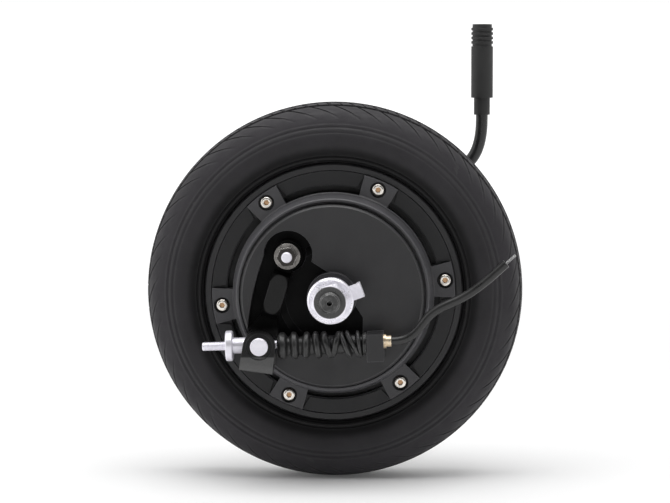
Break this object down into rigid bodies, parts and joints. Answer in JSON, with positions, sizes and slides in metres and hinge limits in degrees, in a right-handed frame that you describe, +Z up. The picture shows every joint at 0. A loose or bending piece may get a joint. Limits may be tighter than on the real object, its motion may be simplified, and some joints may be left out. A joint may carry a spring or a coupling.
{
  "type": "hub motor wheel",
  "caption": "Scooter hub motor wheel with a pneumatic tyre on a split motor shell, a cable-pulled drum brake on one side and a motor cable on the other.",
  "frame": {"origin": "where the tyre stands on the ground: 108 mm below the axle's axis, at the tyre's middle plane", "axes": "Y along the axle, -Y towards the drum brake side and +Y towards the motor cable side; +Z up; -X forward"},
  "size_m": [0.216, 0.16, 0.259],
  "materials": {
    "tyre_rubber": "moulded tyre rubber, matt with a slight sheen",
    "tube_rubber": "smooth butyl rubber",
    "black_rubber": "soft moulded rubber",
    "valve_brass": "turned brass",
    "shell_paint": "fine-textured black powder coat on cast aluminium",
    "cover_paint": "fine-textured black powder coat on cast aluminium",
    "cast_iron": "turned cast iron",
    "yoke_steel": "rolled steel",
    "magnet_plate": "nickel plated magnet",
    "bearing_steel": "ground bearing steel",
    "cage_brass": "pressed brass cage",
    "axle_steel": "dark machined steel",
    "core_steel": "stacked electrical steel",
    "copper_wire": "enamelled copper wire",
    "stator_aluminium": "cast aluminium",
    "board_green": "glass-fibre circuit board",
    "black_plastic": "moulded plastic",
    "cable_sheath": "extruded cable sheath",
    "plated_steel": "bright zinc plated steel",
    "stainless": "bright stainless steel",
    "plate_paint": "satin black paint on cast aluminium",
    "arm_paint": "black electrophoretic paint on steel",
    "shoe_aluminium": "die-cast aluminium",
    "lining": "pressed friction lining",
    "wire_steel": "stranded steel wire"
  },
  "bodies": {
    "axle_assembly": {"axle": "axle_steel", "stator_key": "axle_steel", "stator_core": "core_steel", "stator_windings": "copper_wire", "stator_hub": "stator_aluminium", "hall_board": "board_green", "hall_sensors": "black_plastic", "phase_leads": "cable_sheath", "motor_cable": "cable_sheath", "motor_connector": "black_rubber", "connector_pins": "valve_brass", "brake_side_spacer": "plated_steel", "brake_side_sleeve": "plated_steel", "brake_side_tab_washer": "plated_steel", "cable_side_tab_washer": "plated_steel", "brake_side_axle_nut": "plated_steel", "cable_side_axle_nut": "plated_steel", "brake_side_bearing_inner_race": "bearing_steel", "cable_side_bearing_inner_race": "bearing_steel", "brake_plate": "plate_paint", "anchor_pin": "plated_steel", "cable_boot": "black_rubber", "return_spring": "wire_steel", "cable_ferrule": "valve_brass", "cable_outer": "cable_sheath", "cable_inner": "wire_steel", "shoe_springs": "wire_steel"},
    "wheel": {"tyre": "tyre_rubber", "inner_tube": "tube_rubber", "valve_stem": "valve_brass", "valve_cap": "black_plastic", "rim_shell": "shell_paint", "rotor_yoke": "yoke_steel", "rotor_magnets": "magnet_plate", "brake_side_cover": "cover_paint", "brake_drum_liner": "cast_iron", "brake_side_cover_screws": "stainless", "cable_side_cover": "cover_paint", "cable_side_cover_screws": "stainless", "cable_side_oil_seal": "black_rubber", "brake_side_bearing_outer_race": "bearing_steel", "cable_side_bearing_outer_race": "bearing_steel"},
    "brake_lever": {"brake_arm": "arm_paint", "brake_cam": "plated_steel", "cam_washer": "plated_steel", "cam_nut": "plated_steel"},
    "cable_end": {"trunnion_pin": "plated_steel", "adjuster_rod": "plated_steel", "pull_wire": "wire_steel"},
    "thumb_nut": {"adjuster_nut": "plated_steel"},
    "front_brake_shoe": {"front_shoe": "shoe_aluminium", "front_shoe_lining": "lining"},
    "rear_brake_shoe": {"rear_shoe": "shoe_aluminium", "rear_shoe_lining": "lining"},
    "brake_side_ball_ring": {"brake_side_bearing_balls": "bearing_steel", "brake_side_bearing_cage": "cage_brass"},
    "cable_side_ball_ring": {"cable_side_bearing_balls": "bearing_steel", "cable_side_bearing_cage": "cage_brass"}
  },
  "joints": [
    {"name": "wheel_spin", "type": "hinge", "parent": "axle_assembly", "child": "wheel", "pos_m": [0, 0, 0.108], "axis": [0, 1, 0], "continuous": true},
    {"name": "brake_side_balls", "type": "hinge", "parent": "axle_assembly", "child": "brake_side_ball_ring", "pos_m": [0, 0, 0.108], "axis": [0, 1, 0], "continuous": true},
    {"name": "cable_side_balls", "type": "hinge", "parent": "axle_assembly", "child": "cable_side_ball_ring", "pos_m": [0, 0, 0.108], "axis": [0, 1, 0], "continuous": true},
    {"name": "brake_arm_swing", "type": "hinge", "parent": "axle_assembly", "child": "brake_lever", "pos_m": [-0.0249, -0.045, 0.1315], "axis": [0, -1, 0], "range_deg": [0, 12], "deforming": ["cable_boot", "return_spring", "shoe_springs"]},
    {"name": "clevis_swivel", "type": "hinge", "parent": "brake_lever", "child": "cable_end", "pos_m": [-0.0401, -0.0555, 0.0818], "axis": [0, -1, 0], "range_deg": [-10, 1]},
    {"name": "adjuster_travel", "type": "slide", "parent": "cable_end", "child": "thumb_nut", "axis": [-0.9994, 0, -0.0349], "range_m": [0, 0.01]},
    {"name": "front_shoe_pivot", "type": "hinge", "parent": "axle_assembly", "child": "front_brake_shoe", "pos_m": [0.0249, -0.023, 0.0845], "axis": [0, -1, 0], "range_deg": [0, 0.8]},
    {"name": "rear_shoe_pivot", "type": "hinge", "parent": "axle_assembly", "child": "rear_brake_shoe", "pos_m": [0.0249, -0.023, 0.0845], "axis": [0, -1, 0], "range_deg": [-0.8, 0]}
  ],
  "couplings": [
    {"joint": "brake_side_balls", "follows": "wheel_spin", "ratio": 0.5915},
    {"joint": "cable_side_balls", "follows": "wheel_spin", "ratio": 0.6023},
    {"joint": "clevis_swivel", "follows": "brake_arm_swing", "ratio": -0.78},
    {"joint": "front_shoe_pivot", "follows": "brake_arm_swing", "ratio": 0.063},
    {"joint": "rear_shoe_pivot", "follows": "brake_arm_swing", "ratio": -0.063}
  ]
}
